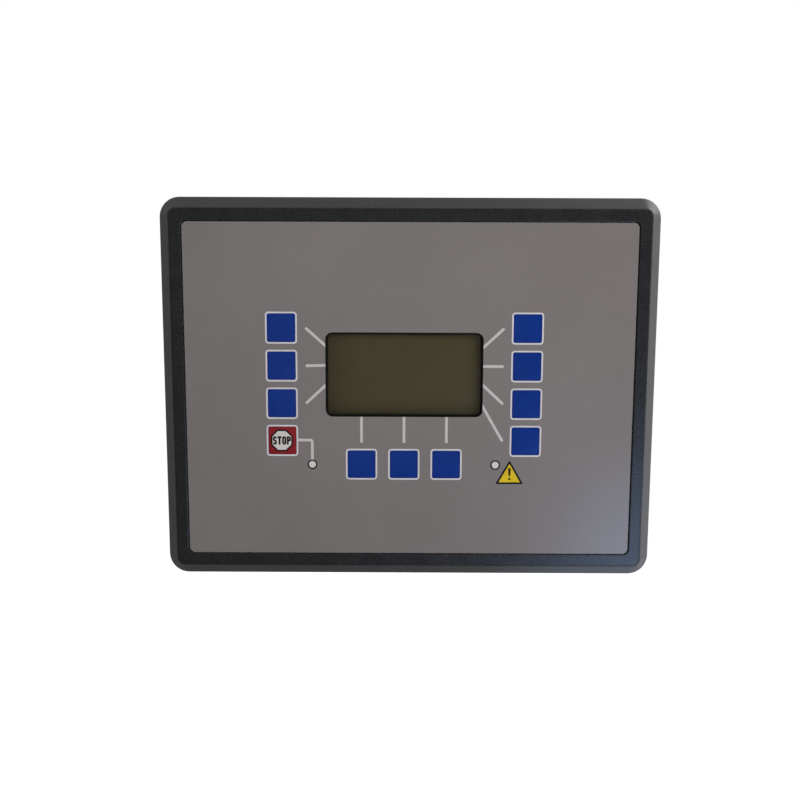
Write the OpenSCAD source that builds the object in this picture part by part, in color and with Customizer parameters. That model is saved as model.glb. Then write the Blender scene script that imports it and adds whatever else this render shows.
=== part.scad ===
// Generator-set controller for flush mounting in a switch panel.
// X runs right, Z up and Y into the panel; Y = 0 is the panel's front face, where the flange seats.

/* [Body] */
// width of the housing that passes through the panel cut-out
body_w = 248; // [246:1:256]
// height of the housing that passes through the panel cut-out
body_h = 182; // [180:1:192]
// depth of the housing behind the panel
body_depth = 85; // [83:1:95]
// depth of the two terraces that carry the terminals
terrace_depth = 62; // [60:1:64]
// height of the raised middle of the housing
middle_h = 104; // [96:2:108]
// wall thickness of the housing
wall_t = 2.5; // [2.2:0.1:2.8]
// radius of the housing's corners
body_corner_r = 3; // [2.9:0.1:3.4]
// chamfer along the housing's back edges
body_chamfer = 1.2; // [0.8:0.1:1.4]

/* [Flange] */
// how far the flange reaches past the housing at the left and right
overlap_x = 17; // [17:0.5:20]
// how far the flange reaches past the housing at the top and bottom
overlap_z = 17.5; // [17:0.5:20]
// thickness of the flange, panel to front face
flange_t = 14; // [13.5:0.5:15]
// radius of the flange's outer corners
flange_corner_r = 11.5; // [10.5:0.5:12.5]
// thickness of the outer edge, panel to the start of the slope
edge_t = 5; // [4.5:0.5:6]
// width of the sloped band round the front
slope_w = 7.8; // [7:0.2:8.6]
// rounding between edge and slope
edge_round = 3; // [2:0.2:3.4]
// rounding of the ridge between slope and front band
ridge_round = 1.8; // [1:0.2:2.4]
// wall thickness of the rim outside the cored channel
rim_t = 3; // [2.8:0.1:3.2]

/* [Keypad overlay] */
// distance from the flange's side edges to the overlay
overlay_margin_x = 15; // [14.8:0.2:16]
// distance from the flange's top and bottom edges to the overlay
overlay_margin_z = 15; // [14.8:0.2:16]
// gap between the overlay and the recess at the left and right
overlay_gap_x = 0.7; // [0.4:0.1:0.8]
// gap between the overlay and the recess at the top and bottom
overlay_gap_z = 0.3; // [0.2:0.1:0.6]
// radius of the overlay's corners
overlay_corner_r = 3; // [2:0.5:4]
// thickness of the overlay
overlay_t = 0.6; // [0.5:0.1:0.8]
// how far the overlay lies below the front band
overlay_drop = 0.3; // [0.2:0.1:0.5]
// thickness of the moulded plate behind the overlay
plate_t = 2.5; // [2.4:0.1:3]

/* [Display] */
// width of the visible display window
display_w = 88.6; // [80:0.2:90]
// height of the visible display window
display_h = 47.4; // [42:0.2:48]
// radius of the window's corners
display_corner_r = 4; // [3:0.5:4.5]
// height of the window's middle above the flange's middle
display_z = 9.3; // [8:0.1:10]
// thickness of the clear window pane
pane_t = 1.5; // [1.2:0.1:1.6]
// thickness of the foam seal in front of the display module
seal_t = 1; // [0.8:0.1:1.2]
// depth of the display module's steel frame
lcd_frame_t = 6; // [5.8:0.1:6.2]
// sheet thickness of that frame
lcd_sheet_t = 0.6; // [0.5:0.1:0.7]
// thickness of the liquid-crystal cell
lcd_glass_t = 2; // [1.8:0.1:2.2]

/* [Keys] */
// sideways offset of the display and keys from the flange's middle
group_x = -3; // [-4:0.25:-2]
// distance of the key columns from the display's middle
column_x = 68.9; // [68.5:0.1:71]
// height of the top row of keys
row_top_z = 35.5; // [34:0.1:36]
// distance between rows of keys
row_pitch = 21.2; // [21:0.05:21.4]
// distance between the keys below the display
bottom_pitch = 24.05; // [22:0.05:25]
// height of the row of keys below the display
bottom_z = -41.6; // [-42:0.1:-41]
// side of a key's pressed field
key_size = 15.6; // [15:0.1:15.8]
// radius of that field's corners
key_corner_r = 1; // [0.8:0.1:1.2]
// gap between a key and the overlay
key_gap = 0.2; // [0.2:0.05:0.3]
// how far a key's crown stands above the overlay
key_rise = 0.15; // [0.1:0.05:0.25]
// radius of a key's domed crown
key_crown_r = 200; // [180:10:240]
// thickness of a key at its middle
key_t = 0.9; // [0.8:0.05:1]
// travel of a key when pressed
key_travel = 0.5; // [0.3:0.1:0.5]
// radius of a key's stem
stem_r = 1.75; // [1.6:0.05:1.9]
// gap round a key's stem
stem_gap = 0.35; // [0.3:0.05:0.4]
// side of the small switch under a key
switch_size = 6.2; // [6:0.1:6.6]
// height of that switch
switch_t = 3.6; // [3.5:0.1:3.7]

/* [Lamps] */
// distance of the lamps from the display's middle
lamp_x = 52; // [50:0.5:54]
// height of the lamps
lamp_z = -41.8; // [-43:0.1:-41]
// radius of a lamp's lens
lamp_r = 2.05; // [1.8:0.05:2.2]

/* [Panel fixing] */
// distance of the threaded inserts from the flange's edges
insert_inset = 6.5; // [6.4:0.1:6.8]
// distance of the corner inserts from the flange's edges
insert_corner_inset = 8.5; // [8.4:0.1:8.8]
// distance between the middle inserts along the top and bottom
insert_span_x = 94; // [80:2:110]
// distance between the middle inserts along the sides
insert_span_z = 72; // [60:2:84]
// outer radius of an insert
insert_r = 2.8; // [2.7:0.1:3]
// radius of an insert's threaded hole
insert_bore_r = 1.65; // [1.6:0.05:1.7]
// length of an insert
insert_len = 7; // [6:0.5:7]
// width of the sealing gasket
gasket_w = 3.6; // [3.2:0.2:3.8]
// depth of the gasket as it is squeezed on the panel
gasket_t = 1.1; // [1:0.1:1.3]
// length of the slots that take the clamps
clamp_slot_l = 20; // [16:1:24]
// width of the slots that take the clamps
clamp_slot_w = 6; // [5:0.5:7]
// distance of those slots from the housing's middle
clamp_slot_x = 75; // [70:1:80]
// distance of those slots behind the panel
clamp_slot_y = 30; // [26:1:34]

/* [Terminals] */
// distance between the poles of a signal plug
pole_pitch = 5.08; // [5:0.04:5.08]
// number of poles of a signal plug
poles = 20; // [16:1:20]
// distance between the poles of the voltage plug
voltage_pitch = 7.62; // [7.5:0.04:7.62]
// number of poles of the voltage plug
voltage_poles = 8; // [6:1:8]
// distance between the poles of the current terminal
current_pitch = 6.2; // [6:0.1:6.35]
// number of poles of the current terminal
current_poles = 6; // [4:1:6]
// height of a plug along Z
plug_h = 14; // [13:0.5:15]
// depth of a plug outside its header
plug_t = 17.4; // [16:0.2:18]

/* [Service socket] */
// height of the socket's middle above the housing's middle
socket_z = 20; // [10:1:24]
// width of the socket's opening
socket_w = 11.8; // [11.6:0.1:12]
// height of the socket's opening
socket_h = 8; // [7:0.2:8.4]

/* [Hidden] */
$fn = 48;
// general gap between a piece and the hole that it sits in
fit = 0.2;
// small overlap that keeps a cut clear of the face it starts from
cut = 1;
// gap round a screw or insert in its hole
screw_fit = 0.05;
// thickness of every circuit board
board_t = 1.6;

flange_w = body_w + 2 * overlap_x;
flange_h = body_h + 2 * overlap_z;
overlay_w = flange_w - 2 * overlay_margin_x;
overlay_h = flange_h - 2 * overlay_margin_z;

// depths of the front's layers
front_y = -flange_t;
overlay_y = front_y + overlay_drop;
plate_y = overlay_y + overlay_t;
plate_back_y = plate_y + plate_t;
front_board_gap = 4.6;
front_board_y = plate_back_y + front_board_gap;
front_board_back_y = front_board_y + board_t;

// cored channel and seat on the flange's back
land_w = 6.5;
channel_step = 3.3;
channel_shallow = 5;
channel_deep = 9;
seat_depth = 1.5;
seat_gap = 0.3;
collar_t = 2.2;
collar_len = 6;
groove_inset = 1.6;
groove_side = 0.2;
groove_depth = gasket_t + 0.1;
groove_w = gasket_w + 2 * groove_side;
groove_reach = groove_inset + groove_w;
gasket_reach = groove_reach - groove_side;
boss_r = 4.9;
insert_hole_depth = insert_len + 0.4;
rib_t = 2;
collar_w = body_w - 2 * (wall_t + fit);
collar_h = body_h - 2 * (wall_t + fit);
pocket_w = collar_w - 2 * collar_t;
pocket_h = collar_h - 2 * collar_t;
pocket_corner_r = 1.5;

// display module behind its window
ledge = 3;
window_clear = 1;
lcd_view_inset = 1;
lcd_border_x = 7;
lcd_border_z = 7.5;
lcd_w = display_w + 2 * lcd_border_x;
lcd_h = display_h + 2 * lcd_border_z;
seal_reach = 5;
seal_w = 4;
lcd_frame_y = plate_back_y + seal_t;
lcd_board_y = lcd_frame_y + lcd_frame_t;
lcd_board_back_y = lcd_board_y + board_t;
lcd_screw_x = lcd_w / 2 + 3.5;
lcd_screw_z = lcd_h / 2 - 2;
lcd_board_w = 2 * lcd_screw_x + 7;
lcd_board_h = lcd_h + 10;

// keys and switches
switch_y = front_board_y - switch_t;
switch_bore = 2.2;
key_front_y = overlay_y - key_rise;
key_back_y = key_front_y + key_t;
stem_end_y = switch_y + switch_bore - key_travel - fit;
pocket_floor_y = key_back_y + key_travel + fit;
key_hole = key_size + 2 * key_gap;
crown_span = asin(0.75 * key_size / key_crown_r);

// front circuit board round the display
front_board_rim = 12;
front_board_w = 2 * (column_x + front_board_rim);
front_board_h = 104;
front_board_z = -2;
front_board_open_w = lcd_board_w + 2;
front_board_open_h = lcd_h + 4.4;
front_screw_x = front_board_w / 2 - 4;
front_screw_z = front_board_h / 2 - 4;

// small screws
screw_r = 1.25;
screw_head_r = 2.6;
screw_head_t = 2;
screw_len = 6;
screw_boss_r = 2.9;

// lamps
lamp_flange_r = 3;
lamp_flange_t = 1;
led_size = 3;
led_t = 2;

// housing, its long screws and the main board
tube_x = body_w / 2 - 12;
tube_z = body_h / 2 - 12;
tube_r = 5;
tube_bore_r = 3.6;
tube_foot_y = 10;
tube_foot_t = 3;
tube_seat_y = tube_foot_y + tube_foot_t;
tube_boss_r = 4.5;
long_screw_r = 1.5;
long_screw_len = 14;
long_head_r = 2.9;
long_head_t = 2.4;
main_board_y = terrace_depth - 12;
main_board_back_y = main_board_y + board_t;
main_board_w = 2 * tube_x - 14;
main_board_h = body_h - 14;
pillar_inset_x = 5;
pillar_inset_z = 23;
pillar_x = main_board_w / 2 - pillar_inset_x;
pillar_z = main_board_h / 2 - pillar_inset_z;
pillar_r = 3.5;
vent_w = 3;
vent_l = 14;
vent_pitch = 8;
vent_inset = 16;
vents = 17;

// terminals
terminal_z = body_h / 2 - 17;
header_t = 13;
header_h = 9.4;
header_wall = 0.8;
header_floor = 2;
header_y = main_board_back_y + header_t;
plug_end_y = header_y + plug_t;
plug_gap = 1.4;
plug_side = 0.3;
nose_gap = 0.3;
wire_w = 3.6;
wire_h = 3.8;
wire_depth = 8;
wire_y = plug_end_y - 9;
well_r = 2.1;
well_depth = 5;
well_set = 2;
clamp_screw_r = 1.9;
clamp_screw_t = 2;
clamp_slit_w = 0.7;
clamp_slit_d = 0.8;
signal_w = poles * pole_pitch;
voltage_w = voltage_poles * voltage_pitch;
current_w = current_poles * current_pitch;
signal_x = signal_w / 2 + plug_gap / 2;
voltage_x = voltage_w / 2 + plug_gap / 2;
current_x = voltage_w + current_w / 2 + 2 * plug_gap;

// service socket on the main board's edge
socket_body_w = 15.8;
socket_body_h = 13.4;
socket_body_l = 17;
socket_depth = 13;
latch_w = 6;
latch_h = 1.6;
socket_y = main_board_y - socket_body_h / 2;
socket_x = body_w / 2 - socket_body_l;

// parts on the main board
relay_size = [10.2, 15, 28];
relay_count = 10;
relay_pitch = 15;
relay_z = 28;
headroom = 5.9;
tall_part_t = body_depth - wall_t - main_board_back_y - headroom;
wound_part_end_y = main_board_back_y + tall_part_t - 3;
ct_w = 24;
ct_h = 26;
ct_window_r = 4.8;
ct_count = 3;
ct_pitch = 30;
ct_x = 25;
ct_z = -28;
choke_w = 32;
choke_h = 28;
choke_x = -70;
choke_z = -28;
cap_r = 8;
cap_pitch = 19;
cap_count = 3;
cap_x = -42;
cap_z = -34;
chip_size = 28;
chip_t = 1.6;
chip_x = 40;
chip_z = 30;
cell_r = 10;
cell_t = 3.2;
cell_x = -50;
cell_z = 30;
cell_base = 24;
cell_base_t = 5;
cell_front_y = main_board_y - cell_base_t;

// ribbon cable between the boards
ribbon_socket_w = 34;
ribbon_socket_h = 9;
ribbon_socket_t = 9;
ribbon_w = 30;
ribbon_t = 0.9;
ribbon_bow = 10;
ribbon_z = bottom_z - 4.3;
ribbon_front_y = front_board_back_y + ribbon_socket_t;
ribbon_back_y = main_board_y - ribbon_socket_t;

function row_z(i) = row_top_z - i * row_pitch;
function left_spot(i) = [group_x - column_x, row_z(i)];
function right_spot(i) = [group_x + column_x, row_z(i)];
function bottom_spot(i) = [group_x + (i - 1) * bottom_pitch, bottom_z];
left_spots = [for (i = [0:3]) left_spot(i)];
right_spots = [for (i = [0:3]) right_spot(i)];
bottom_spots = [for (i = [0:2]) bottom_spot(i)];
key_spots = concat(left_spots, right_spots, bottom_spots);
stop_spot = left_spot(3);
lamp_spots = [for (s = [-1, 1]) [group_x + s * lamp_x, lamp_z]];
corners = [for (sx = [-1, 1], sz = [-1, 1]) [sx, sz]];
tube_spots = [for (c = corners) [c[0] * tube_x, c[1] * tube_z]];
pillar_spots = [for (c = corners) [c[0] * pillar_x, c[1] * pillar_z]];
lcd_screw_spots = [
  for (c = corners) [group_x + c[0] * lcd_screw_x, display_z + c[1] * lcd_screw_z]
];
front_screw_spots = [
  for (c = corners) [group_x + c[0] * front_screw_x, front_board_z + c[1] * front_screw_z]
];

insert_x = flange_w / 2 - insert_inset;
insert_z = flange_h / 2 - insert_inset;
insert_corner_x = flange_w / 2 - insert_corner_inset;
insert_corner_z = flange_h / 2 - insert_corner_inset;
insert_spots = concat(
  [for (c = corners) [c[0] * insert_corner_x, c[1] * insert_corner_z]],
  [for (c = corners) [c[0] * insert_span_x / 2, c[1] * insert_z]],
  [for (c = corners) [c[0] * insert_x, c[1] * insert_span_z / 2]]
);

// draws a flat X and Z shape out along Y
module depth(from, to) {
  translate([0, to, 0])
    rotate([90, 0, 0])
      linear_extrude(height = to - from)
        children();
}

// round bar along Y
module rod(spot, r, from, to) {
  translate([spot[0], from, spot[1]])
    rotate([-90, 0, 0])
      cylinder(r = r, h = to - from);
}

// box given by its middle in X and Z and its ends in Y
module block(spot, w, h, from, to) {
  translate([spot[0] - w / 2, from, spot[1] - h / 2])
    cube([w, to - from, h]);
}

module rounded_rect(w, h, r) {
  square([w - 2 * r, h], center = true);
  square([w, h - 2 * r], center = true);
  for (c = corners)
    translate([c[0] * (w / 2 - r), c[1] * (h / 2 - r)])
      circle(r);
}

// closed band between two rounded rectangles
module rounded_band(w, h, r, t) {
  difference() {
    rounded_rect(w, h, r);
    rounded_rect(w - 2 * t, h - 2 * t, max(r - t, pocket_corner_r));
  }
}

function arc(c, r, from, to, steps) =
  [for (i = [0:steps]) c + r * [cos(from + (to - from) * i / steps), sin(from + (to - from) * i / steps)]];

// half of the flange's cross-section: distance from the middle line and height above the panel,
// to a thousandth of a millimetre so that the sides and corners meet
slope_rise = flange_t - edge_t;
slope_facing = atan2(slope_w, slope_rise);
edge_arc = arc([-edge_round, edge_t - edge_round * tan(slope_facing / 2)], edge_round, 0, slope_facing, 7);
ridge_arc = arc([-slope_w - ridge_round * tan(45 - slope_facing / 2), flange_t - ridge_round], ridge_round,
                slope_facing, 90, 7);
function flange_profile(half) = concat(
  [[half, 0]],
  [for (p = concat(edge_arc, ridge_arc)) [half + round(p[0] * 1000) / 1000, round(p[1] * 1000) / 1000]]
);
function flange_section(half) = concat(
  flange_profile(half),
  [for (p = [len(flange_profile(half)) - 1:-1:0]) [-flange_profile(half)[p][0], flange_profile(half)[p][1]]]
);
function corner_section() = concat(flange_profile(flange_corner_r), [[0, flange_t], [0, 0]]);

// solid flange with its slope carried round the corners
module flange_block() {
  rotate([90, 0, 0]) {
    rotate([90, 0, 90])
      linear_extrude(height = flange_w - 2 * flange_corner_r, center = true)
        polygon(flange_section(flange_h / 2));
    rotate([90, 0, 0])
      linear_extrude(height = flange_h - 2 * flange_corner_r, center = true)
        polygon(flange_section(flange_w / 2));
    for (i = [0:3])
      rotate([0, 0, 90 * i])
        translate([(i % 2 == 0 ? flange_w : flange_h) / 2 - flange_corner_r,
                   (i % 2 == 0 ? flange_h : flange_w) / 2 - flange_corner_r, 0])
          rotate_extrude(angle = 90)
            polygon(corner_section());
  }
}

// bosses round the inserts and ribs between them, left standing in the channel
module channel_islands() {
  rib_x = (insert_x + insert_span_x / 2) / 2;
  rib_z = (insert_z + insert_span_z / 2) / 2;
  for (p = insert_spots)
    translate(p)
      circle(boss_r);
  for (i = [-1, 0, 1]) {
    translate([i * rib_x, 0])
      square([rib_t, flange_h], center = true);
    translate([0, i * rib_z])
      square([flange_w, rib_t], center = true);
  }
}

// channel that cores out the flange behind its slope, from the given inset of its outer wall
module flange_channel(inset, channel_depth) {
  depth(-channel_depth, cut)
    difference() {
      rounded_rect(flange_w - 2 * inset, flange_h - 2 * inset, flange_corner_r - inset);
      rounded_rect(body_w + 2 * land_w, body_h + 2 * land_w, body_corner_r + land_w);
      channel_islands();
    }
}

// openings through the plate: display, keys and lamps
module plate_openings() {
  translate([group_x, 0, display_z]) {
    depth(plate_y - cut, plate_y + pane_t)
      rounded_rect(display_w + 2 * (ledge + fit), display_h + 2 * (ledge + fit), display_corner_r);
    depth(plate_y, plate_back_y + cut)
      rounded_rect(display_w + window_clear, display_h + window_clear, display_corner_r);
  }
  for (k = key_spots) {
    translate([k[0], 0, k[1]])
      depth(plate_y - cut, pocket_floor_y)
        rounded_rect(key_hole, key_hole, key_corner_r + key_gap);
    rod(k, stem_r + stem_gap, plate_y, plate_back_y + cut);
  }
  for (l = lamp_spots)
    rod(l, lamp_r + fit / 2, plate_y - cut, plate_back_y + cut);
}

// bosses behind the plate for the boards and the housing
module plate_bosses() {
  for (p = tube_spots)
    rod(p, tube_boss_r, plate_back_y - cut, tube_foot_y);
  for (p = front_screw_spots)
    rod(p, screw_boss_r, plate_back_y - cut, front_board_y);
  for (p = lcd_screw_spots)
    rod(p, screw_boss_r, plate_back_y - cut, lcd_board_y);
}

module boss_holes() {
  for (p = tube_spots)
    rod(p, long_screw_r + screw_fit, tube_foot_y - long_screw_len, tube_foot_y + cut);
  for (p = front_screw_spots)
    rod(p, screw_r + screw_fit, front_board_back_y - screw_len - fit, front_board_y + cut);
  for (p = lcd_screw_spots)
    rod(p, screw_r + screw_fit, lcd_board_back_y - screw_len - fit, lcd_board_y + cut);
}

module front_frame() {
  color("#2a2a2b")
    difference() {
      union() {
        difference() {
          flange_block();
          flange_channel(rim_t, channel_shallow);
          flange_channel(rim_t + channel_step, channel_deep);
          depth(front_y - cut, plate_y)
            rounded_rect(overlay_w + 2 * overlay_gap_x, overlay_h + 2 * overlay_gap_z, overlay_corner_r);
          depth(-seat_depth, cut)
            rounded_rect(body_w + 2 * seat_gap, body_h + 2 * seat_gap, body_corner_r + seat_gap);
          depth(-groove_depth, cut)
            rounded_band(body_w + 2 * groove_reach, body_h + 2 * groove_reach,
                         body_corner_r + groove_reach, groove_w);
          depth(plate_back_y, cut)
            rounded_rect(pocket_w, pocket_h, pocket_corner_r);
        }
        depth(-seat_depth - cut, collar_len)
          rounded_band(collar_w, collar_h, pocket_corner_r + collar_t, collar_t);
        plate_bosses();
      }
      for (p = insert_spots)
        rod(p, insert_r + screw_fit, -insert_hole_depth, cut);
      plate_openings();
      boss_holes();
    }
}

module keypad_overlay() {
  color("#6e6b6a")
    difference() {
      depth(overlay_y, plate_y)
        rounded_rect(overlay_w, overlay_h, overlay_corner_r);
      translate([group_x, 0, display_z])
        depth(overlay_y - cut, plate_y + cut)
          rounded_rect(display_w, display_h, display_corner_r);
      for (k = key_spots)
        translate([k[0], 0, k[1]])
          depth(overlay_y - cut, plate_y + cut)
            rounded_rect(key_hole, key_hole, key_corner_r + key_gap);
      for (l = lamp_spots)
        rod(l, lamp_r + fit / 2, overlay_y - cut, plate_y + cut);
    }
}

module display_window() {
  color("#8d9088", 0.4)
    translate([group_x, 0, display_z])
      depth(plate_y, plate_y + pane_t)
        rounded_rect(display_w + 2 * ledge, display_h + 2 * ledge, display_corner_r - fit);
}

module display_seal() {
  color("#1b1b1b")
    translate([group_x, 0, display_z])
      depth(plate_back_y, lcd_frame_y)
        rounded_band(display_w + 2 * seal_reach, display_h + 2 * seal_reach, display_corner_r + 2, seal_w);
}

// folded steel frame that holds the cell and its backlight
module lcd_frame() {
  color("#151513")
    translate([group_x, 0, display_z])
      difference() {
        depth(lcd_frame_y, lcd_board_y)
          square([lcd_w, lcd_h], center = true);
        depth(lcd_frame_y + lcd_sheet_t, lcd_board_y + cut)
          square([lcd_w - 2 * lcd_sheet_t, lcd_h - 2 * lcd_sheet_t], center = true);
        depth(lcd_frame_y - cut, lcd_frame_y + cut)
          square([display_w - 2 * lcd_view_inset, display_h - 2 * lcd_view_inset], center = true);
      }
}

module lcd_glass() {
  color("#44402c")
    block([group_x, display_z], lcd_w - 2 * lcd_sheet_t - fit, lcd_h - 2 * lcd_sheet_t - fit,
          lcd_frame_y + lcd_sheet_t, lcd_frame_y + lcd_sheet_t + lcd_glass_t);
}

module lcd_backlight() {
  color("#d8dccb")
    block([group_x, display_z], lcd_w - 2 * lcd_sheet_t - fit, lcd_h - 2 * lcd_sheet_t - fit,
          lcd_frame_y + lcd_sheet_t + lcd_glass_t, lcd_board_y);
}

module lcd_board() {
  color("#1f5a35")
    difference() {
      block([group_x, display_z], lcd_board_w, lcd_board_h, lcd_board_y, lcd_board_back_y);
      for (p = lcd_screw_spots)
        rod(p, screw_r + fit, lcd_board_y - cut, lcd_board_back_y + cut);
    }
}

// pan-head screw driven from the back, head seated at the given depth
module board_screw(spot, seat, len) {
  difference() {
    union() {
      rod(spot, screw_head_r, seat, seat + screw_head_t);
      rod(spot, screw_r, seat - len, seat + cut);
    }
    rod(spot, screw_head_r / 2, seat + screw_head_t / 2, seat + screw_head_t + cut);
  }
}

module lcd_screws() {
  color("#b9bcc0")
    for (p = lcd_screw_spots)
      board_screw(p, lcd_board_back_y, screw_len);
}

// key field with a domed front and a stem that reaches into its switch
module key(spot) {
  translate([spot[0], 0, spot[1]]) {
    intersection() {
      depth(key_front_y - cut, key_back_y)
        rounded_rect(key_size, key_size, key_corner_r);
      translate([0, key_back_y, 0])
        rotate([90, 0, 0])
          rotate_extrude()
            polygon(concat(
              [[0, 0]],
              arc([0, key_t - key_crown_r], key_crown_r, 90, 90 - crown_span, 6),
              [[key_crown_r * sin(crown_span), 0]]
            ));
    }
    rod([0, 0], stem_r, key_back_y - fit, stem_end_y);
  }
}

module softkey(spot) {
  color("#142a78")
    key(spot);
}

module stop_key() {
  color("#7d161e")
    key(stop_spot);
}

module key_switches() {
  color("#1c1c1e")
    for (k = key_spots)
      difference() {
        block(k, switch_size, switch_size, switch_y, front_board_y);
        rod(k, stem_r + stem_gap, switch_y - cut, switch_y + switch_bore);
      }
}

// light guide with a collar behind the plate
module lamp_lens(spot) {
  color("#e9eaec")
    union() {
      rod(spot, lamp_r, overlay_y, plate_back_y + lamp_flange_t);
      rod(spot, lamp_flange_r, plate_back_y, plate_back_y + lamp_flange_t);
    }
}

module indicator_leds() {
  color("#f3efe0")
    for (l = lamp_spots)
      block(l, led_size, led_size, front_board_y - led_t, front_board_y);
}

module front_board() {
  color("#1f5a35")
    difference() {
      block([group_x, front_board_z], front_board_w, front_board_h, front_board_y, front_board_back_y);
      block([group_x, display_z], front_board_open_w, front_board_open_h,
            front_board_y - cut, front_board_back_y + cut);
      for (p = front_screw_spots)
        rod(p, screw_r + fit, front_board_y - cut, front_board_back_y + cut);
    }
}

module front_board_screws() {
  color("#b9bcc0")
    for (p = front_screw_spots)
      board_screw(p, front_board_back_y, screw_len);
}

module panel_gasket() {
  color("#202020")
    depth(-groove_depth, gasket_t - groove_depth)
      rounded_band(body_w + 2 * gasket_reach, body_h + 2 * gasket_reach,
                   body_corner_r + gasket_reach, gasket_w);
}

module thread_inserts() {
  color("#b08d43")
    for (p = insert_spots)
      difference() {
        rod(p, insert_r, -insert_len, 0);
        rod(p, insert_bore_r, -insert_len - cut, cut);
      }
}

// outside of the housing: a full-height front and a raised middle
module housing_block() {
  depth(-seat_depth, terrace_depth)
    rounded_rect(body_w, body_h, body_corner_r);
  depth(terrace_depth - cut, body_depth)
    rounded_rect(body_w, middle_h, body_corner_r);
}

// square bar turned on its edge, which cuts a chamfer along X at the top or bottom
module chamfer_x(y, z) {
  translate([0, y, z])
    rotate([45, 0, 0])
      cube([body_w + 2 * cut, body_chamfer * sqrt(2), body_chamfer * sqrt(2)], center = true);
}

// the same along Z at the left or right, between two heights
module chamfer_z(x, y, from, to) {
  translate([x, y, (from + to) / 2])
    rotate([0, 0, 45])
      cube([body_chamfer * sqrt(2), body_chamfer * sqrt(2), to - from], center = true);
}

module housing_chamfers() {
  for (s = [-1, 1]) {
    chamfer_x(body_depth, s * middle_h / 2);
    chamfer_x(terrace_depth, s * body_h / 2);
    chamfer_z(s * body_w / 2, body_depth, -middle_h / 2 - cut, middle_h / 2 + cut);
    chamfer_z(s * body_w / 2, terrace_depth, middle_h / 2, body_h / 2 + cut);
    chamfer_z(s * body_w / 2, terrace_depth, -body_h / 2 - cut, -middle_h / 2);
  }
}

module housing_hollow() {
  depth(-seat_depth - cut, terrace_depth - wall_t)
    rounded_rect(body_w - 2 * wall_t, body_h - 2 * wall_t, body_corner_r - wall_t / 2);
  depth(terrace_depth - wall_t - cut, body_depth - wall_t)
    rounded_rect(body_w - 2 * wall_t, middle_h - 2 * wall_t, body_corner_r - wall_t / 2);
}

// slot with round ends, cut along Y through the back wall
module vent(spot) {
  translate([spot[0], 0, spot[1]])
    depth(body_depth - wall_t - cut, body_depth + cut) {
      square([vent_w, vent_l - vent_w], center = true);
      for (s = [-1, 1])
        translate([0, s * (vent_l - vent_w) / 2])
          circle(vent_w / 2);
    }
}

// opening in a terrace for a header or terminal of the given width
module header_opening(x, side, w) {
  block([x, side * terminal_z], w + 2 * fit, header_h + 2 * fit,
        terrace_depth - wall_t - cut, terrace_depth + cut);
}

module housing_openings() {
  for (s = [-1, 1]) {
    header_opening(s * signal_x, 1, signal_w);
    for (x = [-1, 1])
      translate([x * clamp_slot_x, clamp_slot_y, s * body_h / 2])
        cube([clamp_slot_l, clamp_slot_w, 4 * wall_t], center = true);
    for (i = [0:vents - 1])
      vent([(i - (vents - 1) / 2) * vent_pitch, s * (middle_h / 2 - vent_inset)]);
  }
  header_opening(-signal_x, -1, signal_w);
  header_opening(voltage_x, -1, voltage_w);
  header_opening(current_x, -1, current_w);
  translate([body_w / 2, socket_y, socket_z])
    cube([6 * wall_t, socket_body_h + 2 * fit, socket_body_w + 2 * fit], center = true);
}

module rear_housing() {
  color("#242425")
    difference() {
      union() {
        difference() {
          housing_block();
          housing_hollow();
          housing_chamfers();
        }
        for (p = tube_spots)
          rod(p, tube_r, tube_foot_y, terrace_depth - wall_t + cut);
        for (p = pillar_spots)
          rod(p, pillar_r, main_board_back_y, terrace_depth - wall_t + cut);
      }
      housing_openings();
      for (p = tube_spots) {
        rod(p, tube_bore_r, tube_seat_y, terrace_depth + cut);
        rod(p, long_screw_r + fit, tube_foot_y - cut, terrace_depth);
      }
      for (p = pillar_spots)
        rod(p, screw_r + screw_fit, main_board_back_y - cut, main_board_back_y + screw_len);
    }
}

module housing_screws() {
  color("#9a9da1")
    for (p = tube_spots)
      difference() {
        union() {
          rod(p, long_head_r, tube_seat_y, tube_seat_y + long_head_t);
          rod(p, long_screw_r, tube_foot_y - long_screw_len + fit, tube_seat_y + cut);
        }
        rod(p, long_head_r / 2, tube_seat_y + long_head_t / 2, tube_seat_y + long_head_t + cut);
      }
}

module main_board() {
  color("#1f5a35")
    difference() {
      union() {
        block([0, 0], main_board_w, main_board_h, main_board_y, main_board_back_y);
        translate([main_board_w / 2 - cut, main_board_y, socket_z - socket_body_w / 2 - cut])
          cube([body_w / 2 - wall_t - main_board_w / 2, board_t, socket_body_w + 2 * cut]);
      }
      for (p = pillar_spots)
        rod(p, screw_r + fit, main_board_y - cut, main_board_back_y + cut);
    }
}

module main_board_screws() {
  color("#b9bcc0")
    mirror([0, 1, 0])
      for (p = pillar_spots)
        board_screw(p, -main_board_y, screw_len);
}

// plug-in terminal: a nose that enters the header, wire holes on the outer side and screw wells at the back
module terminal_plug(x, side, count, pitch) {
  w = count * pitch - plug_side;
  nose_inset = 2 * (header_wall + nose_gap);
  outer_z = side * (terminal_z + plug_h / 2);
  difference() {
    union() {
      block([x, side * terminal_z], w, plug_h, header_y, plug_end_y);
      block([x, side * terminal_z], w - nose_inset, header_h - nose_inset,
            main_board_back_y + header_floor + nose_gap, header_y + cut);
    }
    for (i = [0:count - 1]) {
      pole_x = x + (i - (count - 1) / 2) * pitch;
      translate([pole_x, wire_y, outer_z])
        cube([wire_w, wire_h, 2 * wire_depth], center = true);
      rod([pole_x, side * (terminal_z - well_set)], well_r, plug_end_y - well_depth, plug_end_y + cut);
    }
  }
}

module signal_plug(x, side) {
  color("#1d6b3a")
    terminal_plug(x, side, poles, pole_pitch);
}

module voltage_plug() {
  color("#1d6b3a")
    terminal_plug(voltage_x, -1, voltage_poles, voltage_pitch);
}

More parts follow.
